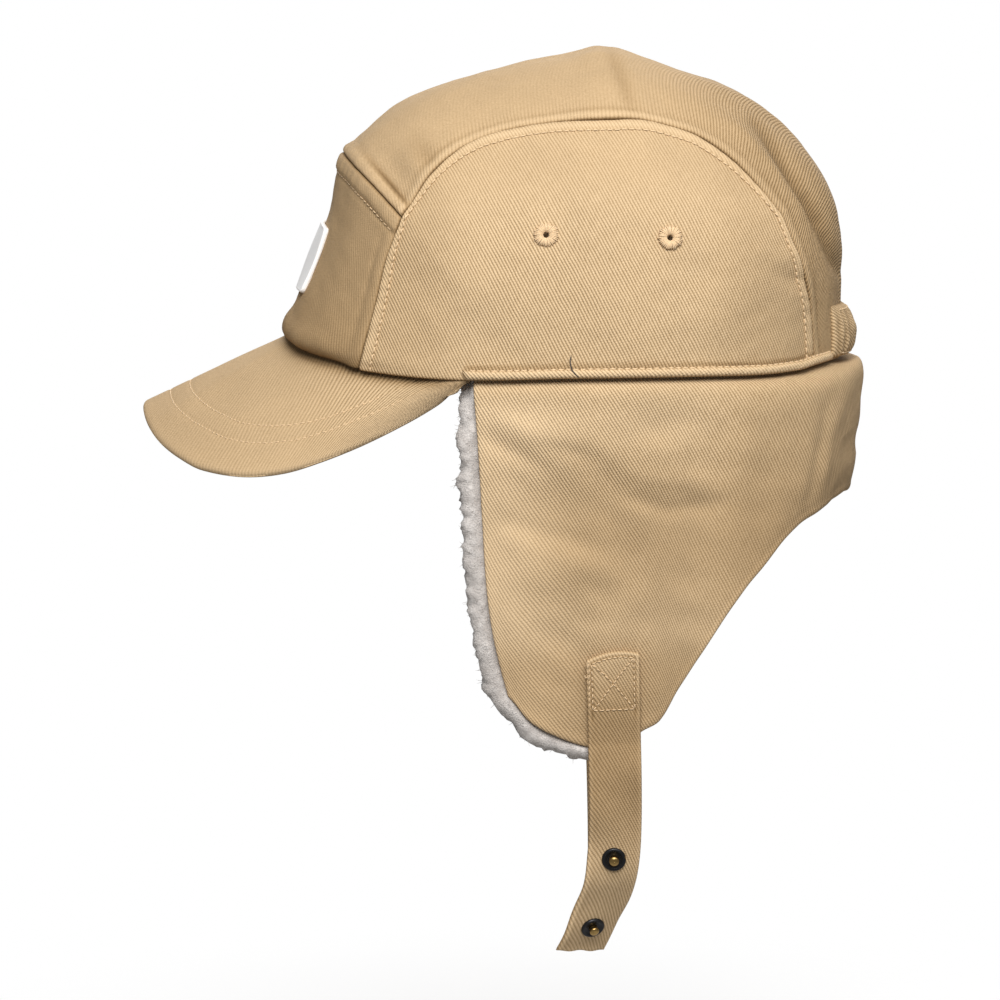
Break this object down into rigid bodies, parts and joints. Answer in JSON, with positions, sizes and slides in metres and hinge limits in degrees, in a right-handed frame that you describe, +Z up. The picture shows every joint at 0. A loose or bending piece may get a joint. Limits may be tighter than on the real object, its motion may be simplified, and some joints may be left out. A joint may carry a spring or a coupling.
{
  "type": "earflap cap",
  "caption": "Cotton twill cap with a curved peak, a fleece-lined ear and neck flap that hangs below the rim, and snap chin straps hanging open.",
  "frame": {"origin": "middle of the head opening at the height of the crown's lower edge, where the cap sits on a head", "axes": "+Z up through the crown, -Y the way the peak points, +X the wearer's left"},
  "size_m": [0.1792, 0.2786, 0.3409],
  "materials": {
    "twill": "tan cotton twill with a plain diagonal rib",
    "fleece": "pale curly fleece",
    "label_weave": "bare off-white woven label",
    "thread": "close satin stitches",
    "snap_black": "black enamel",
    "snap_brass": "plain pressed brass"
  },
  "bodies": {
    "root": {"front_panel": "twill", "top_panel": "twill", "side_panel_left": "twill", "side_panel_right": "twill", "peak": "twill", "rim_binding_left": "twill", "rim_binding_right": "twill", "back_band": "twill", "flap_shell": "twill", "flap_lining": "fleece", "strap_left": "twill", "strap_right": "twill", "label": "label_weave", "eyelet_left_front": "thread", "eyelet_left_rear": "thread", "eyelet_right_front": "thread", "eyelet_right_rear": "thread", "snap_ring_upper": "snap_black", "snap_ring_lower": "snap_black", "snap_post_upper": "snap_brass", "snap_post_lower": "snap_brass", "snap_socket_upper": "snap_black", "snap_socket_lower": "snap_black"}
  },
  "joints": []
}
